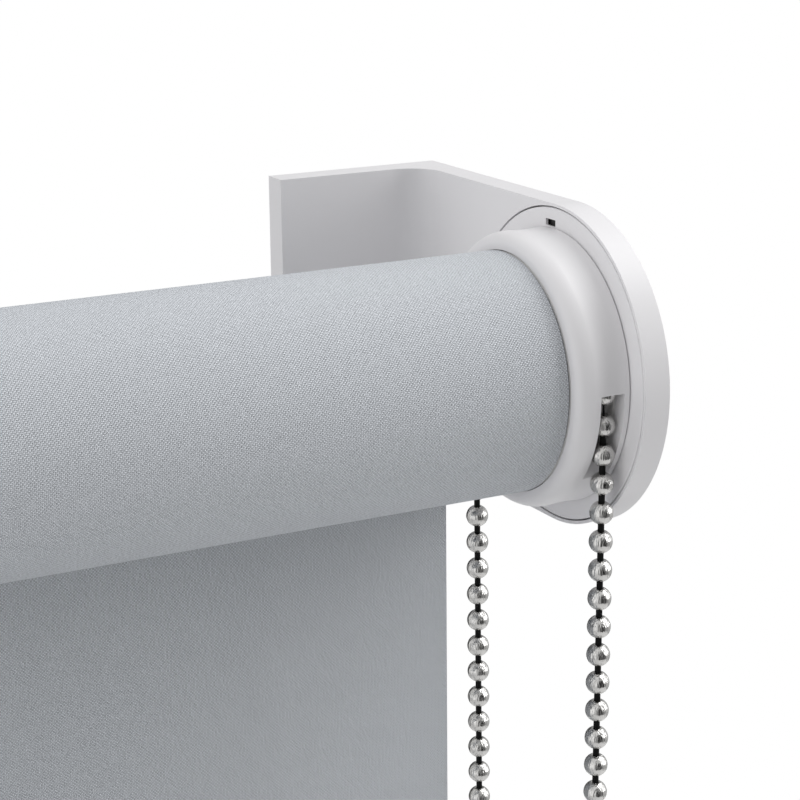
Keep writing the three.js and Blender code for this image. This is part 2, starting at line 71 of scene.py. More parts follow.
# ---------------------------------------------------------------- ball chain
# An endless loop of hollow steel balls crimped on a black polyester cord, hung over the chain wheel.
# The balls are 4.8 mm across and 6 mm apart; the cord is 1.3 mm thick. It runs down the room side of the
# wheel, round a loop under its own weight and up the window side.
MM = 0.001
roll_low, roll_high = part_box("fabric_roll")
AXIS_Y = (roll_low[1] + roll_high[1]) / 2
AXIS_Z = (roll_low[2] + roll_high[2]) / 2
EDGE = roll_high[0]
FAR_EDGE = roll_low[0]
strand_low, strand_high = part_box("chain_front")
CHAIN_X = (strand_low[0] + strand_high[0]) / 2
BALL = 4.8 * MM
BALL_PITCH = 6 * MM
CORD = 1.3 * MM
WHEEL_PITCH_RADIUS = 24.83 * MM
STRAND_LENGTH = 812.25 * MM
STRAND_LEAN = 0.0136
CONNECTOR_DEPTH = 99 * MM


def colour(hex_code):
    """An sRGB hex colour as linear RGBA: c / 12.92 near black, else a power curve of 2.4."""
    part = [int(hex_code[i : i + 2], 16) / 255 for i in (1, 3, 5)]
    return [*(c / 12.92 if c <= 0.04045 else ((c + 0.055) / 1.055) ** 2.4 for c in part), 1.0]


def add(tree, kind, settings=None, **inputs):
    """One shader node. settings are its own properties. inputs fill its sockets by name, or by place as
    _0, _1: a number or colour is set on the socket, and another node's socket is linked to it."""
    made = tree.nodes.new(kind)
    for name, value in (settings or {}).items():
        setattr(made, name, value)
    for name, value in inputs.items():
        socket = made.inputs[int(name[1:])] if name[0] == "_" else made.inputs[name.replace("_", " ")]
        if isinstance(value, bpy.types.NodeSocket):
            tree.links.new(value, socket)
        else:
            socket.default_value = value
    return made


def new_material(name):
    """An empty node material: returns it with its tree and its output node."""
    made = bpy.data.materials.new(name)
    made.use_nodes = True
    made.node_tree.nodes.clear()
    return made, made.node_tree, made.node_tree.nodes.new("ShaderNodeOutputMaterial")


def calc(tree, operation, *terms):
    """The result of one sum on numbers or other nodes' sockets."""
    values = {f"_{index}": term for index, term in enumerate(terms)}
    return add(tree, "ShaderNodeMath", {"operation": operation}, **values).outputs[0]


def noise(tree, scale, detail, place=None, **inputs):
    """The level of a noise texture, over the object's own space unless a place is given."""
    place = place or add(tree, "ShaderNodeTexCoord").outputs["Object"]
    made = add(tree, "ShaderNodeTexNoise", Vector=place, Scale=scale, Detail=detail, **inputs)
    return made.outputs["Fac"]


def spread(tree, level, low, high):
    """A level between 0 and 1 mapped to the range from low to high."""
    return add(tree, "ShaderNodeMapRange", Value=level, To_Min=low, To_Max=high).outputs[0]


def bumps(tree, level, strength, depth):
    """A surface normal from a height that runs from 0 to depth metres."""
    return add(tree, "ShaderNodeBump", Strength=strength, Distance=depth, Height=level).outputs[0]


def shaded(made, tree, out, **inputs):
    """Joins a principled shader with these inputs to a material's output, and returns the material."""
    shader = add(tree, "ShaderNodeBsdfPrincipled", **inputs)
    tree.links.new(shader.outputs[0], out.inputs[0])
    return made


def grid_faces(rows, columns, wrap_rows=False, wrap_columns=False):
    """Quads over a grid of numbered points: each joins point (i, j) to its neighbours at i + 1 and j + 1."""
    i = np.arange(rows if wrap_rows else rows - 1)[:, None]
    j = np.arange(columns if wrap_columns else columns - 1)[None, :]
    i2, j2 = (i + 1) % rows, (j + 1) % columns
    corners = [i * columns + j, i2 * columns + j, i2 * columns + j2, i * columns + j2]
    return np.stack([np.broadcast_to(c, (i.size, j.size)).ravel() for c in corners], axis=1)


def new_object(name, points, faces, materials, smooth=True):
    """A mesh object from an (n, 3) array of points in metres and an (m, 4) array of quads."""
    mesh = bpy.data.meshes.new(name)
    mesh.from_pydata(points.reshape(-1, 3), [], faces.tolist())
    mesh.polygons.foreach_set("use_smooth", np.full(len(mesh.polygons), smooth))
    for material in materials:
        mesh.materials.append(material)
    mesh.update()
    made = bpy.data.objects.new(name, mesh)
    scene.collection.objects.link(made)
    return made


def polished_steel():
    """Stainless steel strip rolled into balls and barrel polished: a mirror with scuffs that spread its
    highlights, and lines about 0.4 mm apart along the chain from the rolls, which streak its reflections."""
    made, tree, out = new_material("barrel_polished_steel")
    place = add(tree, "ShaderNodeTexCoord").outputs["Object"]
    drawn = add(tree, "ShaderNodeMapping", Vector=place, Scale=(2400, 2400, 200)).outputs[0]
    return shaded(
        made,
        tree,
        out,
        Base_Color=colour("#CBCAC8"),
        Metallic=1.0,
        Roughness=spread(tree, noise(tree, 900.0, 3.0), 0.06, 0.16),
        Normal=bumps(tree, noise(tree, 1.0, 2.0, drawn), 1.0, 0.2 * MM),
    )


def black_cord():
    """Braided polyester cord, dyed black: rough, with its 0.4 mm braid as a fine bump."""
    made, tree, out = new_material("braided_polyester_black")
    braid = bumps(tree, noise(tree, 2500.0, 2.0), 0.5, 0.1 * MM)
    black = colour("#0B0B0B")
    return shaded(made, tree, out, Base_Color=black, Roughness=0.75, Specular_IOR_Level=0.2, Normal=braid)


def strand(side, depth):
    """A point on a strand: side -1 is the room side. It leans in by a fixed slope as it goes down."""
    y = AXIS_Y + side * (WHEEL_PITCH_RADIUS - STRAND_LEAN * depth)
    return np.stack([np.full_like(depth, CHAIN_X), y, AXIS_Z - depth], axis=-1)


def arc(centre_z, radius, angles):
    """Points on a circle in the chain's plane: y = r cos a and z = r sin a from its centre."""
    y = AXIS_Y + radius * np.cos(angles)
    return np.stack([np.full_like(angles, CHAIN_X), y, centre_z + radius * np.sin(angles)], axis=-1)


def along(path, distances):
    """Points and unit directions at the given distances along a polyline."""
    steps = np.linalg.norm(np.diff(path, axis=0), axis=1)
    travelled = np.concatenate([[0], np.cumsum(steps)])
    points = np.stack([np.interp(distances, travelled, path[:, k]) for k in range(3)], axis=-1)
    ahead = np.stack([np.interp(distances + 1e-4, travelled, path[:, k]) for k in range(3)], axis=-1)
    behind = np.stack([np.interp(distances - 1e-4, travelled, path[:, k]) for k in range(3)], axis=-1)
    direction = ahead - behind
    return points, direction / np.linalg.norm(direction, axis=-1, keepdims=True)


def balls_on(path, distances, rings, sides):
    """Hollow balls threaded on a path. Each is a sphere cut off where the cord enters, with its rim turned
    in: height = r sin t and radius = r cos t between the rims, about the path's own direction."""
    points, direction = along(path, distances)
    mouth_radius, lip_height, lip_radius = 0.9 * MM, 0.80, 0.20
    cut = math.acos(mouth_radius / (BALL / 2))
    t = np.linspace(-cut, cut, rings)
    height = np.concatenate([[-lip_height], np.sin(t), [lip_height]]) * BALL / 2
    radius = np.concatenate([[lip_radius], np.cos(t), [lip_radius]]) * BALL / 2
    a = np.linspace(0, 2 * np.pi, sides, endpoint=False)
    side = np.array([1.0, 0, 0])
    across = np.cross(direction, side)
    ring = np.cos(a)[:, None] * side + np.sin(a)[:, None] * across[:, None, :]
    shell = (
        points[:, None, None, :]
        + height[None, :, None, None] * direction[:, None, None, :]
        + radius[None, :, None, None] * ring[:, None, :, :]
    )
    one = grid_faces(len(height), sides, wrap_columns=True)
    count = len(height) * sides
    faces = (one[None] + count * np.arange(len(distances))[:, None, None]).reshape(-1, 4)
    return shell.reshape(-1, 3), faces


def cord_on(path, sides=10):
    """A round cord along a path in the chain's plane: a ring about each point, closed at both ends."""
    direction = np.gradient(path, axis=0)
    direction /= np.linalg.norm(direction, axis=1, keepdims=True)
    across = np.cross(direction, [1.0, 0, 0])
    a = np.linspace(0, 2 * np.pi, sides, endpoint=False)
    ring = np.cos(a)[:, None] * np.array([1.0, 0, 0]) + np.sin(a)[:, None] * across[:, None, :]
    radius = np.full(len(path), CORD / 2)
    radius[[0, -1]] = 1e-6
    return (path[:, None, :] + radius[:, None, None] * ring).reshape(-1, 3), grid_faces(
        len(path), sides, wrap_columns=True
    )


def chain_object(name, path, groups):
    """One object from groups of balls (distances, rings, sides) and the cord through them."""
    points, faces, slots = [], [], []
    for made, slot in [(balls_on(path, *group), 0) for group in groups] + [(cord_on(path), 1)]:
        faces.append(made[1] + sum(len(p) for p in points))
        points.append(made[0])
        slots.append(np.full(len(made[1]), slot))
    made = new_object(name, np.concatenate(points), np.concatenate(faces), [STEEL_BALLS, CHAIN_CORD])
    made.data.polygons.foreach_set("material_index", np.concatenate(slots))
    return turn_out(made)


def turn_out(obj, merge=1e-6):
    """Closes seams and poles and turns every face outward."""
    work = bmesh.new()
    work.from_mesh(obj.data)
    bmesh.ops.remove_doubles(work, verts=work.verts, dist=merge)
    bmesh.ops.recalc_face_normals(work, faces=work.faces)
    work.to_mesh(obj.data)
    work.free()
    return obj


def swept(name, points, wrap_rows=True, merge=1e-6):
    """A skin over a grid of points: rows run along the section, and columns run round and meet."""
    rows, columns = points.shape[:2]
    return turn_out(new_object(name, points, grid_faces(rows, columns, wrap_rows, True), []), merge)


def crease(obj, degrees):
    """Keeps the edges that turn by more than an angle sharp, and shades the rest smooth."""
    obj.data.set_sharp_from_angle(angle=math.radians(degrees))
    return obj


STEEL_BALLS = polished_steel()
CHAIN_CORD = black_cord()
loop_radius = WHEEL_PITCH_RADIUS - STRAND_LEAN * STRAND_LENGTH
depths = np.concatenate([[0.0003], np.arange(0.01, STRAND_LENGTH, 0.02)])
chain_path = np.concatenate(
    [
        strand(-1, depths),
        arc(AXIS_Z - STRAND_LENGTH, loop_radius, np.linspace(-np.pi, 0, 25)),
        strand(1, depths[::-1]),
    ]
)
chain_length = np.linalg.norm(np.diff(chain_path, axis=0), axis=1).sum()
# The balls near the wheel are finely made, and the hundreds lower down are plain.
BACK_START = 2.68 * MM
upper_balls = np.arange(6, 97, 6) * MM
back_balls = chain_length - (BACK_START + np.arange(0, 108, 6) * MM)
lower_balls = np.arange(back_balls[-1] - BALL_PITCH, CONNECTOR_DEPTH + 2 * MM, -BALL_PITCH)
chain = chain_object(
    "ball_chain",
    chain_path,
    [(upper_balls, 13, 24), (back_balls, 13, 24), (lower_balls, 4, 8)],
)
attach(chain, "wall_fixed")
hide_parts("chain_front", "chain_back", "chain_loop")

over_path = arc(AXIS_Z, WHEEL_PITCH_RADIUS, np.linspace(np.pi + 0.01, -0.01, 61))
over_length = math.pi * WHEEL_PITCH_RADIUS
OVER_END = 3.54 * MM
over_balls = np.linspace(0.01 * WHEEL_PITCH_RADIUS, over_length - OVER_END, 13)
over_wheel = chain_object("chain_over_wheel", over_path, [(over_balls, 9, 18)])
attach(over_wheel, "wall_fixed")
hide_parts("chain_in_guard")

# ---------------------------------------------------------------- wall brackets
# An injection-moulded ABS angle at each end: a wall plate, a fillet, and an arm with a full round end
# and a seat for the base disc. The mould leaves soft edges and a fine spark-eroded grain.
arm_low, arm_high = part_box("bracket_control")
PLATE_WIDTH = arm_high[0] - arm_low[0]
WALL_Y = arm_high[1]
END_RADIUS = (arm_high[2] - arm_low[2]) / 2
ARM_OUTER = arm_high[0] - EDGE
ARM_THICKNESS = 5.7 * MM
ARM_INNER = ARM_OUTER - ARM_THICKNESS
PLATE_THICKNESS = 6.2 * MM
BRACKET_FILLET = 8 * MM
disc_low, disc_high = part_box("clutch_base_disc")
DISC_RADIUS = (disc_high[2] - disc_low[2]) / 2
DISC_THICKNESS = 2.2 * MM
SEAT_GAP = 0.3 * MM
SPIGOT_RADIUS = 9 * MM
SINK_RADIUS, SINK_DEPTH, HOLE_RADIUS = 4.2 * MM, 2.0 * MM, 2.4 * MM
CATCH_ROOM = 1.9 * MM


def moulded_abs(name, hex_code, roughness, grain_mm=0.35, grain_depth=0.012):
    """Injection-moulded ABS: a satin skin whose spark-eroded grain breaks up the highlight."""
    made, tree, out = new_material(name)
    return shaded(
        made,
        tree,
        out,
        Base_Color=colour(hex_code),
        Roughness=spread(tree, noise(tree, 60.0, 2.0), roughness - 0.04, roughness + 0.04),
        IOR=1.53,
        Normal=bumps(tree, noise(tree, 1000 / grain_mm, 2.0, Roughness=0.6), 0.35, grain_depth * MM),
    )


def fillet(corner, before, after, radius, steps=8):
    """The arc that rounds one corner of an outline: it touches both sides at radius / tan(half the angle)."""
    a, b = np.subtract(before, corner), np.subtract(after, corner)
    a, b = a / np.linalg.norm(a), b / np.linalg.norm(b)
    half = math.acos(np.clip(a @ b, -1, 1)) / 2
    bisector = (a + b) / np.linalg.norm(a + b)
    centre = np.asarray(corner) + bisector * radius / math.sin(half)
    start = np.asarray(corner) + a * radius / math.tan(half) - centre
    end = np.asarray(corner) + b * radius / math.tan(half) - centre
    t = np.linspace(0, 1, steps + 1)[:, None]
    angle = math.pi - 2 * half
    return centre + (np.sin((1 - t) * angle) * start + np.sin(t * angle) * end) / math.sin(angle)


def rounded(corners):
    """A closed outline from (a, b, radius) corners: a corner with no radius stays a point."""
    made = []
    for k, (a, b, radius) in enumerate(corners):
        before, after = corners[k - 1][:2], corners[(k + 1) % len(corners)][:2]
        made.append(fillet((a, b), before, after, radius) if radius > 0 else np.array([[a, b]]))
    return np.concatenate(made)


def prism(name, outline, low, high, axis):
    """A closed outline pushed along an axis from low to high, with flat ends.
    The outline is in the two other axes, in the order X Y Z without the pushed one."""
    count = len(outline)
    both = np.concatenate([np.insert(outline, axis, end, axis=1) for end in (low, high)])
    mesh = bpy.data.meshes.new(name)
    sides = grid_faces(2, count, wrap_columns=True).tolist()
    mesh.from_pydata(both, [], sides + [list(range(count)), list(range(count, 2 * count))])
    made = bpy.data.objects.new(name, mesh)
    scene.collection.objects.link(made)
    return turn_out(made)


def round_about(name, profile, centre, axis, steps=48):
    """A closed profile of (radius, distance) points carried round a line through centre along one axis:
    the radius times the cosine and the sine of the angle goes on the other two axes."""
    profile = np.asarray(profile, dtype=float)
    a = np.linspace(0, 2 * np.pi, steps, endpoint=False)
    ring = np.zeros((len(profile), steps, 3))
    across, up = [k for k in range(3) if k != axis]
    ring[:, :, across] = centre[across] + profile[:, :1] * np.cos(a)
    ring[:, :, up] = centre[up] + profile[:, :1] * np.sin(a)
    ring[:, :, axis] = profile[:, 1:]
    return swept(name, ring)


def turned(name, profile, steps=192):
    """A profile of (radius, x) points carried round the roller's axis."""
    return round_about(name, profile, (0, AXIS_Y, AXIS_Z), 0, steps)


def box_body(name, low, high):
    """A plain block between two corners, used to cut others."""
    (x0, y0, z0), (x1, y1, z1) = low, high
    return prism(name, np.array([[x0, y0], [x1, y0], [x1, y1], [x0, y1]]), z0, z1, 2)


def combine(obj, tools, operation="DIFFERENCE"):
    """Cuts, joins or crosses closed bodies into obj, and removes the tools."""
    for tool in tools:
        step = obj.modifiers.new("combine", "BOOLEAN")
        step.operation, step.object, step.solver = operation, tool, "EXACT"
        settle(obj)
        bpy.data.objects.remove(tool)
    return obj


def settle(obj):
    """Makes obj's modifiers part of its mesh."""
    bpy.context.view_layer.update()
    ready = obj.evaluated_get(bpy.context.evaluated_depsgraph_get())
    mesh = bpy.data.meshes.new_from_object(ready)
    obj.modifiers.clear()
    obj.data = mesh


def soften(obj, width, angle=35, segments=3):
    """Rounds every edge sharper than angle, as a mould or a tumbling barrel leaves it."""
    work = bmesh.new()
    work.from_mesh(obj.data)
    bmesh.ops.remove_doubles(work, verts=work.verts, dist=2e-6)
    bmesh.ops.dissolve_limit(work, angle_limit=math.radians(0.2), verts=work.verts, edges=work.edges)
    work.to_mesh(obj.data)
    work.free()
    obj.data.polygons.foreach_set("use_smooth", np.full(len(obj.data.polygons), True))
    step = obj.modifiers.new("soften", "BEVEL")
    step.width, step.segments = width, segments
    step.limit_method, step.angle_limit = "ANGLE", math.radians(angle)
    step.harden_normals = True
    settle(obj)
    return obj


def from_edge(points):
    """(radius, x) points in millimetres, x from the chain-end edge of the cloth, as metres in the frame."""
    return [(r * MM, EDGE + x * MM) for r, x in points]


def mirrored(obj, name):
    """The other end's copy: x is turned over about the middle of the cloth, and faces are turned back out."""
    made = obj.copy()
    made.data = obj.data.copy()
    made.name = made.data.name = name
    scene.collection.objects.link(made)
    points = np.empty(len(made.data.vertices) * 3)
    made.data.vertices.foreach_get("co", points)
    points = points.reshape(-1, 3)
    points[:, 0] = EDGE + FAR_EDGE - points[:, 0]
    made.data.vertices.foreach_set("co", points.ravel())
    made.data.flip_normals()
    return made


def finish_piece(obj, material, body, slot, *nodes):
    """Gives a piece its one material, its body and the CAD nodes it stands for."""
    obj.data.materials.clear()
    obj.data.materials.append(material)
    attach(obj, body)
    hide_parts(*nodes)
    return obj


def finish_pair(obj, idle_name, body, nodes):
    """Finishes a white ABS piece of the chain end and its mirror image at the idle end."""
    pair = (obj, mirrored(obj, idle_name))
    for made, node in zip(pair, nodes):
        finish_piece(made, WHITE_ABS, body, "white_plastic", node)


def circle(radius, steps, centre):
    """Points round a circle."""
    a = np.linspace(0, 2 * np.pi, steps, endpoint=False)
    return np.stack([centre[0] + radius * np.cos(a), centre[1] + radius * np.sin(a)], axis=1)


def disc_cutter(name, radius, x0, x1, steps=192):
    """A round bar about the roller's axis, used to cut seats and bores."""
    return prism(name, circle(radius, steps, (AXIS_Y, AXIS_Z)), EDGE + x0, EDGE + x1, 0)


def middle(node):
    """The middle of a CAD node's box."""
    return (np.array(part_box(node)[0]) + np.array(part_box(node)[1])) / 2


def bracket():
    """Two outlines crossed: the L seen from above, and the side view with its full round end."""
    front = WALL_Y - PLATE_THICKNESS
    inner, outer = EDGE + ARM_INNER, EDGE + ARM_OUTER
    reach = AXIS_Y - END_RADIUS - MM
    corner = rounded(
        [
            (outer, WALL_Y, 0),
            (outer - PLATE_WIDTH, WALL_Y, 0),
            (outer - PLATE_WIDTH, front, 0),
            (inner, front, BRACKET_FILLET),
            (inner, reach, 0),
            (outer, reach, 0),
        ]
    )
    body = prism("bracket_control_shell", corner, AXIS_Z - END_RADIUS, AXIS_Z + END_RADIUS, 2)
    a = np.linspace(np.pi / 2, 1.5 * np.pi, 97)
    end = np.stack([AXIS_Y + END_RADIUS * np.cos(a), AXIS_Z + END_RADIUS * np.sin(a)], axis=1)
    wall = np.array([[WALL_Y + MM, AXIS_Z - END_RADIUS], [WALL_Y + MM, AXIS_Z + END_RADIUS]])
    side = prism("side", np.concatenate([end, wall]), outer - PLATE_WIDTH - MM, outer + MM, 0)
    combine(body, [side], "INTERSECT")
    seat = disc_cutter("seat", DISC_RADIUS + SEAT_GAP, ARM_INNER - MM, ARM_INNER + DISC_THICKNESS + SEAT_GAP)
    bore = disc_cutter("bore", SPIGOT_RADIUS + SEAT_GAP, ARM_INNER, ARM_OUTER + MM, 96)
    tools = [seat, bore]
    for node in ("wall_screw_control_1", "wall_screw_control_2"):
        x, _, z = middle(node)
        tools.append(prism("sink", circle(SINK_RADIUS, 48, (x, z)), front - MM, front + SINK_DEPTH, 1))
        tools.append(prism("hole", circle(HOLE_RADIUS, 48, (x, z)), front, WALL_Y + MM, 1))
    tools.append(catch_pocket())
    return soften(combine(body, tools), 0.35 * MM)


def catch_pocket():
    """The block of space round the release catch, with room for its travel below."""
    low, high = (np.array(corner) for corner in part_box("release_catch_control"))
    return box_body("pocket", low - [SEAT_GAP, SEAT_GAP, CATCH_ROOM], high + SEAT_GAP)


WHITE_ABS = moulded_abs("moulded_abs_white", "#E4E3E5", 0.42)
finish_pair(bracket(), "bracket_idle_shell", "wall_fixed", ("bracket_control", "bracket_idle"))

# ---------------------------------------------------------------- base discs
# A round ABS base pressed into each arm, flush with its inner face, with a spigot through the arm.
# A small slot at the top lets a screwdriver push the release catch behind it.


def base_disc():
    """A stepped disc turned about the axis, with the release slot cut through it."""
    x1 = ARM_INNER + DISC_THICKNESS
    hub_radius = (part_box("chain_guard")[1][2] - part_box("chain_guard")[0][2]) / 2
    bore = 5.5 * MM
    slot_half, slot_depth, slot_bottom, slot_top = 1.8 * MM, 0.8 * MM, 0.15 * MM, 1.55 * MM
    corners = [
        (bore, EDGE + ARM_INNER, 0),
        (DISC_RADIUS, EDGE + ARM_INNER, 0.3 * MM),
        (DISC_RADIUS, EDGE + x1, 0),
        (SPIGOT_RADIUS, EDGE + x1, 0),
        (SPIGOT_RADIUS, EDGE + ARM_OUTER - SEAT_GAP, 0),
        (bore, EDGE + ARM_OUTER - SEAT_GAP, 0),
    ]
    body = turned("clutch_base", rounded(corners))
    catch = middle("release_catch_control")
    low = (EDGE + ARM_INNER - MM, catch[1] - slot_half, AXIS_Z + hub_radius + slot_bottom)
    high = (EDGE + ARM_INNER + slot_depth, catch[1] + slot_half, AXIS_Z + hub_radius + slot_top)
    return soften(combine(body, [catch_pocket(), box_body("slot", low, high)]), 0.1 * MM)


finish_pair(base_disc(), "idle_base", "wall_fixed", ("clutch_base_disc", "idle_base_disc"))

# ---------------------------------------------------------------- collars
# The moulded ABS hub round each end of the roll: a narrow flat ring, a soft shoulder and a slight waist.
# At the chain end it is hollow over the wheel, with a slot down the front and back for the chain.
hub_low, hub_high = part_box("chain_guard")
wheel_low, wheel_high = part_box("chain_wheel")
HUB_RADIUS = (hub_high[2] - hub_low[2]) / 2
HUB_START = hub_low[0] - EDGE
HUB_END = hub_high[0] - EDGE
FLANGE_RADIUS = (wheel_high[2] - wheel_low[2]) / 2
HUB_BORE = FLANGE_RADIUS + 0.25 * MM
CHANNEL_HALF = 2.7 * MM
SLOT_TOP = 0.4 * MM


def mirror_to_idle(obj, name, material, body, slot, node):
    """Takes a piece drawn at the chain end over to the idle end and finishes it there."""
    made = mirrored(obj, name)
    bpy.data.objects.remove(obj)
    return finish_piece(made, material, body, slot, node)


def collar(name, hollow):
    """The collar's section turned about the axis. The shoulder is a quarter ellipse from the flat ring to
    the full radius, and the waist between it and the disc is half a sine wave."""
    land, shoulder, waist_depth = HUB_BORE + 0.9 * MM, 3.4 * MM, 0.2 * MM
    t = np.linspace(0, np.pi / 2, 20)
    round_edge = np.stack(
        [land + (HUB_RADIUS - land) * np.sin(t), EDGE + HUB_START + shoulder * (1 - np.cos(t))], axis=1
    )
    s = np.linspace(0, 1, 14)[1:]
    waist_x = EDGE + HUB_START + shoulder + s * (HUB_END - HUB_START - shoulder)
    waist = np.stack([HUB_RADIUS - waist_depth * np.sin(np.pi * s), waist_x], axis=1)
    inside = np.array([[HUB_BORE, EDGE + HUB_END], [HUB_BORE, EDGE + HUB_START]])
    body = turned(name, np.concatenate([round_edge, waist, inside]))
    if hollow:
        x0, x1 = CHAIN_X - CHANNEL_HALF, CHAIN_X + CHANNEL_HALF
        inner_room, beyond = 0.38 * MM, 0.05
        arch = prism("arch", circle(WHEEL_PITCH_RADIUS + CHANNEL_HALF, 192, (AXIS_Y, AXIS_Z)), x0, x1, 0)
        low = (x0 - MM, AXIS_Y - beyond, AXIS_Z + SLOT_TOP - MM)
        combine(arch, [box_body("keep", low, (x1 + MM, AXIS_Y + beyond, AXIS_Z + beyond))], "INTERSECT")
        tools = [arch]
        for side in (-1, 1):
            near = AXIS_Y + side * (WHEEL_PITCH_RADIUS - CHANNEL_HALF - inner_room)
            far = AXIS_Y + side * 0.04
            low = (x0, min(near, far), AXIS_Z - beyond)
            tools.append(box_body("slot", low, (x1, max(near, far), AXIS_Z + SLOT_TOP)))
        combine(body, tools)
    body.data.polygons.foreach_set("use_smooth", np.full(len(body.data.polygons), True))
    return crease(body, 35)


finish_piece(collar("chain_collar", True), WHITE_ABS, "wall_fixed", "white_plastic", "chain_guard")
mirror_to_idle(
    collar("plain_collar", False), "idle_collar", WHITE_ABS, "wall_fixed", "white_plastic", "idle_guard_ring"
)

# ---------------------------------------------------------------- release catches
# A black glass-filled nylon plate that slides behind each disc and shows through its slot.
BLACK_NYLON = moulded_abs("glass_filled_nylon_black", "#121213", 0.5, 0.5, 0.02)


def bar_of(name, node, radius):
    """A rectangle with rounded corners, pushed along the roller's axis through a CAD node's box."""
    low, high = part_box(node)
    corners = [(low[1], low[2]), (high[1], low[2]), (high[1], high[2]), (low[1], high[2])]
    return prism(name, rounded([(y, z, radius) for y, z in corners]), low[0], high[0], 0)


for tag in ("control", "idle"):
    node = f"release_catch_{tag}"
    catch = soften(bar_of(f"nylon_catch_{tag}", node, 0.6 * MM), 0.1 * MM, segments=2)
    finish_piece(catch, BLACK_NYLON, node, "black_plastic", node)

# ---------------------------------------------------------------- outer covers
# A moulded ABS cap snapped over the spigot outside each arm, with a rounded rim and a shallow dished face.
cover_low, cover_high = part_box("outer_cover_control")
COVER_RADIUS = (cover_high[2] - cover_low[2]) / 2


def cover():
    """The cap's section turned about the axis: its face dips by d (1 - (r / R)^2) inside a fine ring."""
    face, stem = cover_high[0], 5.2 * MM
    back = EDGE + ARM_OUTER + SEAT_GAP
    rim, chamfer, dip, corner = 1.2 * MM, 0.4 * MM, 0.5 * MM, 0.3 * MM
    t = np.linspace(0, np.pi / 2, 9)
    edge = np.stack([COVER_RADIUS - rim * (1 - np.cos(t)), face - rim * (1 - np.sin(t))], axis=1)
    ring = np.array([[COVER_RADIUS - 2.6 * MM, face], [COVER_RADIUS - 2.9 * MM, face - 0.35 * MM]])
    r = np.linspace(COVER_RADIUS - 3.2 * MM, 0, 24)
    dish = np.stack([r, face - dip * (1 - (r / r[0]) ** 2)], axis=1)
    tip = cover_low[0]
    inside = [[0, tip], [stem - chamfer, tip], [stem, tip + chamfer], [stem, back]]
    skirt = [[COVER_RADIUS - corner, back], [COVER_RADIUS, back + corner]]
    cap = turned("cap_control", [*edge, *ring, *dish, *inside, *skirt])
    return soften(cap, 0.08 * MM, angle=50, segments=2)


finish_pair(cover(), "cap_idle", "wall_fixed", ("outer_cover_control", "outer_cover_idle"))

# ---------------------------------------------------------------- wall screws
# Two zinc-plated steel countersunk screws through each wall plate, with a pressed cross recess.


def plated_steel(name, hex_code, roughness):
    """Turned or headed steel under clear-passivated zinc: a soft metal sheen, a little cloudy, with fine
    turning marks about 0.25 mm apart."""
    made, tree, out = new_material(name)
    return shaded(
        made,
        tree,
        out,
        Base_Color=colour(hex_code),
        Metallic=1.0,
        Roughness=spread(tree, noise(tree, 400.0, 3.0), roughness - 0.1, roughness + 0.1),
        Normal=bumps(tree, noise(tree, 4000.0, 1.0), 0.3, 0.01 * MM),
    )


ZINC_STEEL = plated_steel("zinc_plated_steel", "#C6C8CB", 0.32)


def wall_screw(name, node):
    """A countersunk screw turned about its own line: a slightly raised head, a 90 degree cone and the shank,
    with a tapering cross cut in the head."""
    low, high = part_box(node)
    x, _, z = middle(node)
    head, shank, chamfer = (high[0] - low[0]) / 2, 2.1 * MM, 0.4 * MM
    front, tip = low[1], high[1]
    profile = [
        (0, front),
        (head - 0.5 * MM, front + 0.05 * MM),
        (head, front + 0.25 * MM),
        (shank, front + 2.05 * MM),
        (shank, tip - chamfer),
        (shank - chamfer, tip),
        (0, tip),
    ]
    body = round_about(name, profile, (x, 0, z), 1)
    tools = []
    signs = np.array([[-1, -1], [1, -1], [1, 1], [-1, 1]])
    faces = [[0, 1, 2, 3], [4, 5, 6, 7], [0, 1, 5, 4], [1, 2, 6, 5], [2, 3, 7, 6], [3, 0, 4, 7]]
    for wing in ([2.0, 0.5], [0.5, 2.0]):
        wide = np.array(wing) * MM
        ends = []
        for half, y in ((wide, front - 0.2 * MM), (wide * 0.55, front + 1.5 * MM)):
            ends.append(np.stack([x + signs[:, 0] * half[0], np.full(4, y), z + signs[:, 1] * half[1]], 1))
        cross = new_object("cross", np.concatenate(ends), np.array(faces), [], smooth=False)
        tools.append(turn_out(cross))
    return soften(combine(body, tools), 0.05 * MM, segments=2)


for tag in ("control_1", "control_2", "idle_1", "idle_2"):
    node = f"wall_screw_{tag}"
    finish_piece(wall_screw(f"cross_screw_{tag}", node), ZINC_STEEL, "wall_fixed", "screw_steel", node)

# ---------------------------------------------------------------- chain wheel
# A white acetal spool inside the collar with 26 ball seats round its groove. Its sleeve runs into the tube
# over the wrap springs.
WHITE_ACETAL = moulded_abs("moulded_acetal_white", "#E6E5E4", 0.34, 0.3, 0.008)
GROOVE_RADIUS = WHEEL_PITCH_RADIUS - CHANNEL_HALF
SLEEVE_BORE, SLEEVE_RADIUS = 9.5 * MM, 11.7 * MM


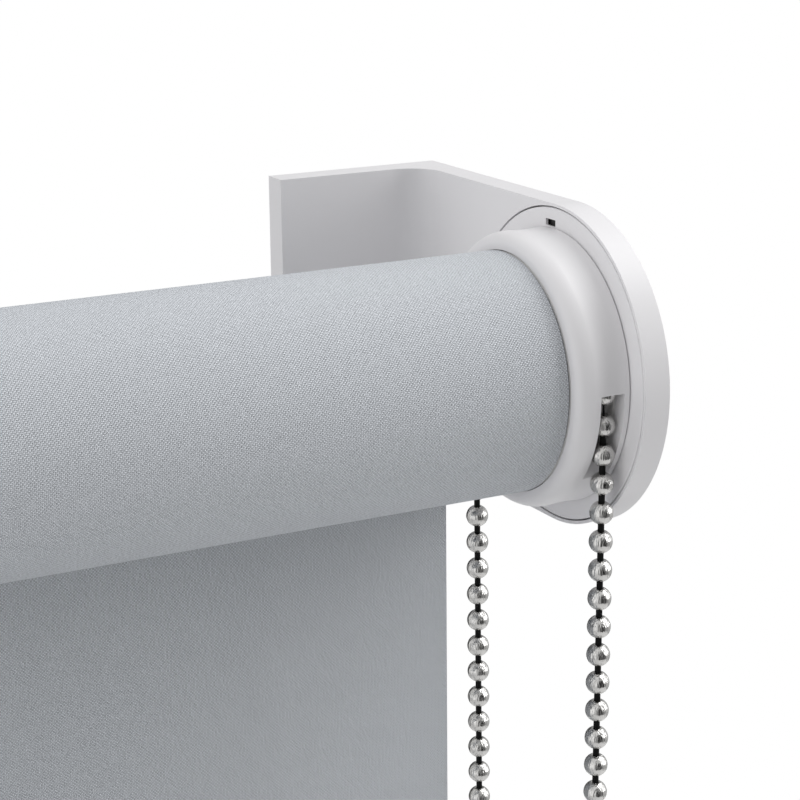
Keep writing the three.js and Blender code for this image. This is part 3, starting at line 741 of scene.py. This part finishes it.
def spool():
    """The spool's section turned about the axis. The groove's floor dips by d cos^2(n a / 2) (1 - (x / w)^2),
    which makes n seats, one for each ball."""
    seats, seat_depth = 26, 0.9 * MM
    end = wheel_high[0]
    recess, step = 12.3 * MM, end - MM
    x0, x1 = CHAIN_X - CHANNEL_HALF, CHAIN_X + CHANNEL_HALF
    floor_x = np.linspace(x1, x0, 15)
    rim = 0.25 * MM
    flange_right = [(FLANGE_RADIUS - rim, end), (FLANGE_RADIUS, end - rim), (FLANGE_RADIUS, x1 + rim)]
    flange_right.append((FLANGE_RADIUS - rim, x1))
    start = EDGE + HUB_START
    flange_left = [(FLANGE_RADIUS - rim, x0), (FLANGE_RADIUS, x0 - rim), (FLANGE_RADIUS, start + rim)]
    flange_left.append((FLANGE_RADIUS - rim, start))
    tip = wheel_low[0]
    bore = [(SLEEVE_RADIUS, start), (SLEEVE_RADIUS, tip), (SLEEVE_BORE, tip), (SLEEVE_BORE, step)]
    floor = [(GROOVE_RADIUS, x) for x in floor_x]
    profile = np.array([(recess, step), (recess, end), *flange_right, *floor, *flange_left, *bore])
    depth = np.zeros(len(profile))
    first = 2 + len(flange_right)
    depth[first : first + len(floor)] = seat_depth * (1 - ((floor_x - CHAIN_X) / CHANNEL_HALF) ** 2)
    a = np.linspace(0, 2 * np.pi, 12 * seats, endpoint=False)
    r = profile[:, :1] - depth[:, None] * np.cos(seats / 2 * (a - np.pi)) ** 2
    x = np.broadcast_to(profile[:, 1:], r.shape)
    ring = np.stack([x, AXIS_Y + r * np.cos(a), AXIS_Z + r * np.sin(a)], -1)
    return crease(swept("ball_wheel", ring), 40)


finish_piece(spool(), WHITE_ACETAL, "chain_wheel", "white_plastic", "chain_wheel")

# ---------------------------------------------------------------- clutch
# A turned steel spindle stands on the base disc. Two wrap springs grip it; the black nylon drum that fills
# the tube's end lets them go when the wheel turns. A washer and a pan-head screw hold the stack.
SPRING_STEEL = plated_steel("oiled_spring_steel", "#8E8C88", 0.3)


def lathe(name, node, profile, steps):
    """A turned zinc-plated piece from its (radius, x) profile, finished in one go."""
    made = soften(turned(name, from_edge(profile), steps), 0.15 * MM, segments=2)
    finish_piece(made, ZINC_STEEL, "wall_fixed", "screw_steel", node)


SPINDLE = [(2.4, 11.5), (12, 11.5), (12, 10.5), (7.5, 10.5), (7.5, -39.2), (6.7, -40), (2.4, -40)]
WASHER = [(2.5, -41.3), (9.5, -41.3), (9.5, -40.3), (2.5, -40.3)]
lathe("spindle", "clutch_spindle", SPINDLE, 96)
lathe("washer", "spindle_washer", WASHER, 64)


def coil(name, node, wire, turns, closed, material, body):
    """A wire wound about the roller's axis. Its x runs evenly with the turn, less closed sin(2 pi t) / 2 pi,
    which packs the end turns; the section is a circle in the plane of radius and x."""
    low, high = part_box(node)
    radius = (high[2] - low[2]) / 2 - wire / 2
    t = np.linspace(0, 1, int(turns * 36) + 1)
    travel = (t - closed * np.sin(2 * np.pi * t) / (2 * np.pi)) * (high[0] - low[0] - wire)
    turn, section = 2 * np.pi * turns * t[:, None], np.linspace(0, 2 * np.pi, 10, endpoint=False)
    size = np.full((len(t), 1), wire / 2)
    size[[0, -1]] = 1e-6
    r = radius + size * np.cos(section)
    x = low[0] + wire / 2 + travel[:, None] + size * np.sin(section)
    points = np.stack([x, AXIS_Y + r * np.cos(turn), AXIS_Z + r * np.sin(turn)], -1)
    wound = swept(name, points, wrap_rows=False, merge=4e-6)
    return finish_piece(wound, material, body, "screw_steel", node)


for number in (1, 2):
    coil(f"wrap_coil_{number}", f"wrap_spring_{number}", 1.3 * MM, 8.9, 0.0, SPRING_STEEL, "chain_wheel")


def ribbed_plug(name, bore, length, lip):
    """A plug turned about the axis with its lip against the tube, then cut by the tube's key and by ten
    V-shaped flutes between its gripping ribs."""
    tube_bore = TUBE_BORE / MM - 0.3
    lip_radius, lip_end = 22.7, 2.7
    corners = [
        (bore, lip, 0),
        (lip_radius, lip, 0.4),
        (lip_radius, -lip_end, 0),
        (tube_bore, -lip_end, 0),
        (tube_bore, -length, 1.2),
        (bore, -length, 0),
    ]
    body = turned(name, from_edge(rounded(corners)), 144)
    flutes, flute_floor, flute_top, flute_half = 10, 18.6, 23, 3.2
    tools = []
    for k in range(flutes):
        angle = math.radians(18 + 36 * k)
        out = np.array([math.cos(angle), math.sin(angle)])
        side = np.array([-out[1], out[0]])
        corner = [flute_floor * out, flute_top * out + flute_half * side, flute_top * out - flute_half * side]
        outline = np.array([np.array([AXIS_Y, AXIS_Z]) + c * MM for c in corner])
        tools.append(prism("flute", outline, EDGE - (length + 1) * MM, EDGE - 5 * MM, 0))
    key_half, key_top = 4.8 * MM, 19.5 * MM
    key_low = (EDGE - (length + 1) * MM, AXIS_Y - key_half, AXIS_Z - 25 * MM)
    tools.append(box_body("key", key_low, (EDGE - lip_end * MM, AXIS_Y + key_half, AXIS_Z - key_top)))
    return soften(combine(body, tools), 0.2 * MM, segments=2)


tube_low, tube_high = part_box("roller_tube")
TUBE_RADIUS = (tube_high[2] - tube_low[2]) / 2
TUBE_BORE = TUBE_RADIUS - 1.3 * MM
drum = ribbed_plug("drum", 12.0, 38.0, -0.35)
finish_piece(drum, BLACK_NYLON, "roller", "black_plastic", "clutch_drum")


def pan_screw():
    """A pan-head screw turned about the axis, with a straight slot across its head."""
    low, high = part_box("retaining_screw")
    head, tip = (low[0] - EDGE) / MM, (high[0] - EDGE) / MM
    t = np.linspace(0, np.pi / 2, 8)
    dome = [(4 * math.sin(v), head + 1.2 * (1 - math.cos(v))) for v in t]
    crest, root, pitch_mm = 2.1, 1.75, 0.8
    shank = [(4, head + 2.4), (crest, head + 2.4)]
    thread = []
    for k in range(24):
        x = head + 2.6 + k * pitch_mm
        thread += [(crest, x), (root, x + pitch_mm / 2)]
    profile = [*dome, *shank, *thread, (crest, tip - 0.4), (1.7, tip), (0, tip)]
    body = turned("pan_screw", from_edge(profile), 40)
    low_slot = (low[0] - MM, AXIS_Y - 5 * MM, AXIS_Z - 0.6 * MM)
    high_slot = (low[0] + 1.2 * MM, AXIS_Y + 5 * MM, AXIS_Z + 0.6 * MM)
    return soften(combine(body, [box_body("slot", low_slot, high_slot)]), 0.08 * MM, angle=60, segments=1)


finish_piece(pan_screw(), ZINC_STEEL, "wall_fixed", "screw_steel", "retaining_screw")

# ---------------------------------------------------------------- idle end
# A black nylon plug with a ground steel pin, held out by a compression spring and turning in a grey bush on
# the base disc. Pushing the pin in frees the roller.
GREY_ACETAL = moulded_abs("moulded_acetal_grey", "#8A8C90", 0.38, 0.3, 0.008)
plug = ribbed_plug("plug_drawn", 3.9, 44.0, -0.35)
chamber = disc_cutter("chamber", 5.5 * MM, -30.3 * MM, -5 * MM, 64)
mirror_to_idle(combine(plug, [chamber]), "idle_end_plug", BLACK_NYLON, "roller", "black_plastic", "idle_plug")
pin_profile = [(0, -34), (3.2, -34), (3.6, -33.6), (3.6, -7.7), (5.2, -7.7), (5.2, -5.3), (3.6, -5.3)]
pin_profile += [(3.6, 12.4), (3.3, 13.0), (2.6, 13.4), (0, 13.4)]
pin = soften(turned("pin_drawn", from_edge(pin_profile), 64), 0.1 * MM, segments=2)
mirror_to_idle(pin, "sprung_pin", STEEL_BALLS, "idle_pin", "screw_steel", "idle_pin")
bush_profile = [(3.9, 1), (11.6, 1), (12, 1.4), (12, 2.6), (11.6, 3), (9, 3), (9, 11.5), (3.9, 11.5)]
bush = soften(turned("bush_drawn", from_edge(bush_profile), 96), 0.15 * MM, segments=2)
mirror_to_idle(bush, "flanged_bush", GREY_ACETAL, "wall_fixed", "grey_plastic", "idle_bush")
pin_coil = coil("compression_coil", "idle_spring", 1.1 * MM, 8.5, 0.45, SPRING_STEEL, "roller")
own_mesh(pin_coil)

# ---------------------------------------------------------------- roller tube
# An extruded aluminium tube, mill finished, with a spline groove along its underside and a key behind it that
# both plugs fit. A white PVC spline pins the cloth's end in the groove.


def extruded_aluminium(name, hex_code, roughness, line_mm):
    """Extruded aluminium: a soft metal sheen with die lines along the length, so the finish is rough across
    them and smooth along them. Anodising makes it paler and more even."""
    made, tree, out = new_material(name)
    place = add(tree, "ShaderNodeTexCoord").outputs["Object"]
    along_x = add(tree, "ShaderNodeMapping", Vector=place, Scale=(12, 1000 / line_mm, 1000 / line_mm))
    lines = noise(tree, 1.0, 3.0, along_x.outputs[0])
    return shaded(
        made,
        tree,
        out,
        Base_Color=colour(hex_code),
        Metallic=1.0,
        Roughness=spread(tree, lines, roughness - 0.08, roughness + 0.08),
        Normal=bumps(tree, lines, 0.4, 0.008 * MM),
    )


MILL_ALUMINIUM = extruded_aluminium("mill_finish_aluminium", "#C9CACC", 0.36, 0.5)
WHITE_PVC = moulded_abs("extruded_pvc_white", "#DEDDDA", 0.5, 0.6, 0.01)


def tube():
    """A round tube whose bore leaves a flat-topped key inside and whose outside has the spline's groove."""
    body = prism("tube_drawn", circle(TUBE_RADIUS, 144, (AXIS_Y, AXIS_Z)), tube_low[0], tube_high[0], 0)
    key_half, key_rise, groove_half, groove_depth = 4.5 * MM, 3.2 * MM, 3 * MM, 2.1 * MM
    a = np.arcsin(key_half / TUBE_BORE)
    sweep = np.linspace(-np.pi / 2 + a, 1.5 * np.pi - a, 120)
    bore = np.stack([AXIS_Y + TUBE_BORE * np.cos(sweep), AXIS_Z + TUBE_BORE * np.sin(sweep)], axis=1)
    key_top = AXIS_Z - TUBE_RADIUS + key_rise
    key = [[AXIS_Y - key_half, key_top], [AXIS_Y + key_half, key_top]]
    hollow = prism("hollow", np.concatenate([bore, key]), tube_low[0] - MM, tube_high[0] + MM, 0)
    low = (tube_low[0] - MM, AXIS_Y - groove_half, AXIS_Z - TUBE_RADIUS - MM)
    high = (tube_high[0] + MM, AXIS_Y + groove_half, AXIS_Z - TUBE_RADIUS + groove_depth)
    return soften(combine(body, [hollow, box_body("groove", low, high)]), 0.12 * MM, segments=2)


finish_piece(tube(), MILL_ALUMINIUM, "roller", "aluminium", "roller_tube")


def pressed_strip(name, node, body):
    """A flat PVC strip with rounded edges, the size of its CAD box."""
    low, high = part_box(node)
    thick = min(high[1] - low[1], high[2] - low[2])
    finish_piece(bar_of(name, node, 0.35 * thick), WHITE_PVC, body, "white_plastic", node)


pressed_strip("tube_strip", "tube_spline", "roller")

# ---------------------------------------------------------------- cloth
# A light grey blackout cloth woven from fine polyester yarn, three threads to the millimetre. It is wound on
# the tube, leaves the back of the roll and hangs in one flat sheet with cut and sealed side edges.
ROLL_RADIUS = (roll_high[2] - roll_low[2]) / 2
CLOTH_THICKNESS = 0.6 * MM
drop_low, drop_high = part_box("fabric_drop")
THREAD_MM = 0.35


def woven_cloth():
    """Plain weave of round yarns: each yarn is a half-sine ridge, and the one on top alternates from
    crossing to crossing. Each crossing differs from the next by a random step, which sets its height and
    its own colour. The colour also carries painted light: the crests of the yarns are painted lighter than
    the hollows between them, and the yarns of one direction are painted lighter where they lie on top.
    UV is in millimetres, u along the roller and v along the drop."""
    made, tree, out = new_material("woven_polyester_cloth")
    uv = add(tree, "ShaderNodeUVMap", {"uv_map": "cloth_mm"}).outputs[0]
    wander = add(tree, "ShaderNodeTexNoise", Vector=uv, Scale=0.5, Detail=2.0)
    moved = add(
        tree,
        "ShaderNodeVectorMath",
        {"operation": "MULTIPLY_ADD"},
        _0=wander.outputs["Color"],
        _1=(0.15, 0.15, 0),
        _2=uv,
    )
    moved = moved.outputs[0]
    scaled = add(tree, "ShaderNodeVectorMath", {"operation": "SCALE"}, _0=moved, Scale=1 / THREAD_MM)
    split = add(tree, "ShaderNodeSeparateXYZ", Vector=scaled.outputs[0])
    ridges, cells = [], []
    for axis in (0, 1):
        turn = calc(tree, "MULTIPLY", split.outputs[axis], math.pi)
        ridges.append(calc(tree, "ABSOLUTE", calc(tree, "SINE", turn)))
        cells.append(calc(tree, "FLOOR", split.outputs[axis]))
    parity = calc(tree, "FRACT", calc(tree, "MULTIPLY", calc(tree, "ADD", cells[0], cells[1]), 0.5))
    on_top = calc(tree, "GREATER_THAN", parity, 0.25)
    top = add(tree, "ShaderNodeMix", {"data_type": "FLOAT"}, _0=on_top, _2=ridges[0], _3=ridges[1])
    top = top.outputs[0]
    crossing = add(tree, "ShaderNodeCombineXYZ", _0=cells[0], _1=cells[1])
    beside = add(tree, "ShaderNodeVectorMath", {"operation": "ADD"}, _0=crossing.outputs[0], _1=(1, 0, 0))
    chances = []
    for cell in (crossing, beside):
        dice = add(tree, "ShaderNodeTexWhiteNoise", {"noise_dimensions": "2D"}, Vector=cell.outputs[0])
        chances.append(dice.outputs["Value"])
    step = calc(tree, "SUBTRACT", chances[0], chances[1])
    # Painted light: the yarn crests are painted lighter than the hollows between the yarns, and the crossings
    # where one direction's yarn lies on top are painted lighter still. Only the random step is the yarns' own
    # uneven colour.
    painted_crown_light = calc(tree, "MULTIPLY_ADD", top, 0.3, calc(tree, "MULTIPLY_ADD", on_top, 0.42, 0.17))
    tone_and_painted_light = calc(tree, "MULTIPLY_ADD", step, 0.3, painted_crown_light)
    height = calc(tree, "MULTIPLY", top, calc(tree, "MULTIPLY_ADD", step, 0.6, 1.0))
    yarn = add(tree, "ShaderNodeValToRGB", Fac=tone_and_painted_light)
    ramp = yarn.color_ramp
    ramp.elements[0].position, ramp.elements[0].color = 0.1, colour("#AFB3B8")
    ramp.elements[1].position, ramp.elements[1].color = 0.95, colour("#EBEFF5")
    weave = bumps(tree, height, 1.0, 0.145 * MM)
    return shaded(made, tree, out, Base_Color=yarn.outputs[0], Roughness=0.7, Normal=weave)


def write_uv(obj, u, v):
    """The cloth's UV map in millimetres, from one u and v for each face corner."""
    layer = obj.data.uv_layers.new(name="cloth_mm")
    layer.data.foreach_set("uv", np.stack([u, v], axis=1).ravel())


def corner_points(obj):
    """The place of each face corner, as an (n, 3) array."""
    index = np.empty(len(obj.data.loops), dtype=np.int32)
    obj.data.loops.foreach_get("vertex_index", index)
    points = np.empty(len(obj.data.vertices) * 3)
    obj.data.vertices.foreach_get("co", points)
    return points.reshape(-1, 3)[index]


def cloth_roll():
    """The outer turn of the roll with its two cut ends, turned about the axis. v is the arc length."""
    inner = 23.3 * MM
    corners = [
        (inner, FAR_EDGE, 0),
        (ROLL_RADIUS, FAR_EDGE, 0.2 * MM),
        (ROLL_RADIUS, EDGE, 0.2 * MM),
        (inner, EDGE, 0),
    ]
    body = turned("cloth_roll", rounded(corners), 256)
    place = corner_points(body)
    angle = np.arctan2(place[:, 2] - AXIS_Z, place[:, 1] - AXIS_Y).reshape(-1, 4)
    crosses_back = (angle.max(axis=1) - angle.min(axis=1) > np.pi)[:, None]
    angle = np.where(crosses_back & (angle < 0), angle + 2 * np.pi, angle)
    threads = round(2 * math.pi * ROLL_RADIUS / MM / (2 * THREAD_MM)) * 2
    write_uv(body, place[:, 0] / MM, angle.ravel() * threads * THREAD_MM / (2 * math.pi))
    return body


WOVEN_CLOTH = woven_cloth()
finish_piece(cloth_roll(), WOVEN_CLOTH, "roller", "cloth", "fabric_roll")


def hanging_cloth():
    """Two faces a cloth's thickness apart over a grid of width and drop, closed round the edge. It thins into
    the roll where it leaves it, and lower down it has a wave of a few tenths of a millimetre."""
    across = np.linspace(0, 1, 57)
    down = np.concatenate([np.linspace(0, 0.01, 8), np.linspace(0.01, 1, 70)[1:]])
    w, d = np.meshgrid(across, down)
    x = FAR_EDGE + (EDGE - FAR_EDGE) * w
    z = AXIS_Z + (drop_low[2] - AXIS_Z) * d
    settled = np.clip(d / 0.008, 0, 1)
    ease = np.clip(d * 3, 0, 1) * np.clip((1 - d) * 8, 0, 1)
    wave = 0.3 * MM * np.sin(2 * np.pi * (1.5 * w + 0.2)) * ease
    centre = AXIS_Y + ROLL_RADIUS + wave
    half = CLOTH_THICKNESS / 2
    back = np.stack([x, centre + half * (0.1 + 0.9 * settled), z], -1)
    front = np.stack([x, centre - half, z], -1)
    loop = np.concatenate([back, front[:, ::-1]], axis=1)
    rows, columns = loop.shape[:2]
    faces = grid_faces(rows, columns, wrap_columns=True)
    ends = []
    for first in (0, (rows - 1) * columns):
        last = first + columns - 1
        ends += [[first + k, first + k + 1, last - 1 - k, last - k] for k in range(len(across) - 1)]
    body = new_object("cloth_sheet", loop, np.concatenate([faces, np.array(ends)]), [], smooth=True)
    place = corner_points(turn_out(body))
    write_uv(body, place[:, 0] / MM, place[:, 2] / MM)
    return crease(body, 50)


sheet = finish_piece(hanging_cloth(), WOVEN_CLOTH, "wall_fixed", "cloth", "fabric_drop")
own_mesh(sheet)

# ---------------------------------------------------------------- hem bar
# A satin anodised aluminium extrusion with a white moulded cap at each end. The cloth goes in through the
# slot in its top, and a white PVC spline inside keeps it there.
SATIN_ANODISED = extruded_aluminium("satin_anodised_aluminium", "#DEE0E2", 0.48, 0.35)
bar_low, bar_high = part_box("hem_bar")
BAR_Y = (bar_low[1] + bar_high[1]) / 2
BAR_HALF = (bar_high[1] - bar_low[1]) / 2
BAR_WALL = 1.3 * MM
MOUTH_HALF, MOUTH_DEPTH = 1.1 * MM, 3.8 * MM


def capsule(half, low, high):
    """A stadium outline in y and z: two half circles of the given radius joined by straight sides."""
    a = np.linspace(0, np.pi, 24)
    top = np.stack([BAR_Y + half * np.cos(a), high - half + half * np.sin(a)], axis=1)
    bottom = np.stack([BAR_Y - half * np.cos(a), low + half - half * np.sin(a)], axis=1)
    return np.concatenate([top, bottom])


def mouth(x0, x1):
    """The slot in the top of the bar that the cloth goes down into."""
    low = (x0, BAR_Y - MOUTH_HALF, bar_high[2] - MOUTH_DEPTH)
    return box_body("mouth", low, (x1, BAR_Y + MOUTH_HALF, bar_high[2] + MM))


def hem_extrusion():
    """The capsule outline less its own inside and less the mouth."""
    outer = capsule(BAR_HALF, bar_low[2], bar_high[2])
    inner = capsule(BAR_HALF - BAR_WALL, bar_low[2] + BAR_WALL, bar_high[2] - BAR_WALL)
    body = prism("hem_extrusion", outer, bar_low[0], bar_high[0], 0)
    combine(body, [prism("bore", inner, bar_low[0] - MM, bar_high[0] + MM, 0)])
    return soften(combine(body, [mouth(bar_low[0] - MM, bar_high[0] + MM)]), 0.15 * MM, segments=2)


finish_piece(hem_extrusion(), SATIN_ANODISED, "hem", "aluminium", "hem_bar")
pressed_strip("hem_strip", "hem_spline", "hem")


def bar_cap():
    """A capsule flange with a soft edge outside the bar, a smaller capsule plug inside it, and the slot that
    the cloth goes down into. The plug stops short of the bar's top, so that the slot passes over it."""
    low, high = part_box("hem_cap_right")
    gap, plug_drop, overlap = 0.3 * MM, 4 * MM, 0.5 * MM
    face = bar_high[0] + gap
    flange = prism("bar_cap_right", capsule(BAR_HALF, bar_low[2], bar_high[2]), face, high[0], 0)
    inner = BAR_HALF - BAR_WALL - gap
    plug_outline = capsule(inner, bar_low[2] + BAR_WALL + gap, bar_high[2] - BAR_WALL - plug_drop)
    combine(flange, [prism("plug", plug_outline, low[0], face + overlap, 0)], "UNION")
    return combine(soften(flange, 0.35 * MM, angle=50), [mouth(face - MM, high[0] + MM)])


finish_pair(bar_cap(), "bar_cap_left", "hem", ("hem_cap_right", "hem_cap_left"))

# ---------------------------------------------------------------- chain connector and stop
# A moulded sleeve clips over the two ends of the chain on the room side. A split ball on the window side
# stops the chain at the wheel when the blind is all the way down.


def on_strand(name, side, depth, profile, steps=48):
    """A profile of (radius, distance) points carried round a strand at a depth, in line with the strand."""
    profile = np.asarray(profile, dtype=float)
    centre = strand(side, np.array([depth]))[0]
    line = strand(side, np.array([depth + 0.01]))[0] - centre
    line /= np.linalg.norm(line)
    across = np.array([1.0, 0, 0])
    other = np.cross(line, across)
    a = np.linspace(0, 2 * np.pi, steps, endpoint=False)
    turn = np.cos(a)[:, None] * across + np.sin(a)[:, None] * other
    ring = centre + profile[:, None, :1] * turn[None] + profile[:, None, 1:] * line
    return crease(swept(name, ring), 50)


sleeve_low, sleeve_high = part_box("chain_connector")
sleeve_radius = (sleeve_high[0] - sleeve_low[0]) / 2
sleeve_bore = sleeve_radius - MM
sleeve_half, sleeve_rim = 4.75 * MM, sleeve_radius - 0.55 * MM
t = np.linspace(-1, 1, 25)
barrel = sleeve_radius - 0.25 * MM * t**2 - 0.22 * MM * np.exp(-((t / 0.06) ** 2))
sleeve_profile = [*np.stack([barrel, 4.55 * MM * t], axis=1), (sleeve_rim, sleeve_half)]
sleeve_profile += [(sleeve_bore, sleeve_half), (sleeve_bore, -sleeve_half), (sleeve_rim, -sleeve_half)]
sleeve = on_strand("joining_sleeve", -1, CONNECTOR_DEPTH, sleeve_profile)
finish_piece(sleeve, WHITE_ACETAL, "chain_connector", "white_plastic", "chain_connector")

stop_low, stop_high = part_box("stop_ball")
stop_radius = (stop_high[0] - stop_low[0]) / 2
stop_depth = AXIS_Z - (stop_low[2] + stop_high[2]) / 2
t = np.linspace(-1, 1, 41) * math.acos(3.0 * MM / stop_radius)
seam = stop_radius - 0.18 * MM * np.exp(-((t / 0.04) ** 2))
stop_profile = np.stack([seam * np.cos(t), seam * np.sin(t)], axis=1)
stop = on_strand("split_stop", 1, stop_depth, stop_profile)
finish_piece(stop, WHITE_ACETAL, "stop_ball", "white_plastic", "stop_ball")

# ---------------------------------------------------------------- studio
# A pale matt floor well below the blind. Two big soft boxes, to the right and above, light the rim and the
# top. The room gives soft light from the left, the right and above, and the paper behind is white.
FLOOR_Z = -0.93
corners = [[-1.6, -1.3, FLOOR_Z], [1.1, -1.3, FLOOR_Z], [1.1, 1.2, FLOOR_Z], [-1.6, 1.2, FLOOR_Z]]
matt_floor = shaded(*new_material("matt_floor"), Base_Color=colour("#F2F2F2"), Roughness=0.9)
floor = new_object("floor", np.array(corners), np.array([[0, 1, 2, 3]]), [matt_floor])


def area_light(name, place, power):
    """A white square soft light at a place, turned to face the chain end of the roller."""
    data = bpy.data.lights.new(name, "AREA")
    data.size, data.energy = 0.8, power
    lamp = bpy.data.objects.new(name, data)
    scene.collection.objects.link(lamp)
    direction = Vector((0.0, -0.06, -0.03)) - Vector(place)
    turn = direction.to_track_quat("-Z", "Y").to_matrix().to_4x4()
    lamp.matrix_world = Matrix.Translation(place) @ turn


area_light("right", (1.1, -0.6, 0.25), 5.7)
area_light("above", (0.8, -0.2, 1.0), 6.7)
world = bpy.data.worlds.new("studio")
scene.world = world
world.use_nodes = True
sky = world.node_tree
sky.nodes.clear()
split = add(sky, "ShaderNodeSeparateXYZ", Vector=add(sky, "ShaderNodeTexCoord").outputs["Generated"])
level = 0.0
for axis, sign, power in ((0, -1, 1.42), (0, 1, 0.78), (2, 1, 1.0), (2, -1, 0.12)):
    facing = calc(sky, "MAXIMUM", calc(sky, "MULTIPLY", split.outputs[axis], sign), 0.0)
    level = calc(sky, "MULTIPLY_ADD", calc(sky, "POWER", facing, 2.0), power, level)
light = add(sky, "ShaderNodeBackground", Color=(1, 1, 1, 1), Strength=level)
paper = add(sky, "ShaderNodeBackground", Color=(1, 1, 1, 1), Strength=1.0)
seen = add(sky, "ShaderNodeLightPath").outputs["Is Camera Ray"]
mix = add(sky, "ShaderNodeMixShader", _0=seen, _1=light.outputs[0], _2=paper.outputs[0])
add(sky, "ShaderNodeOutputWorld", Surface=mix.outputs[0])
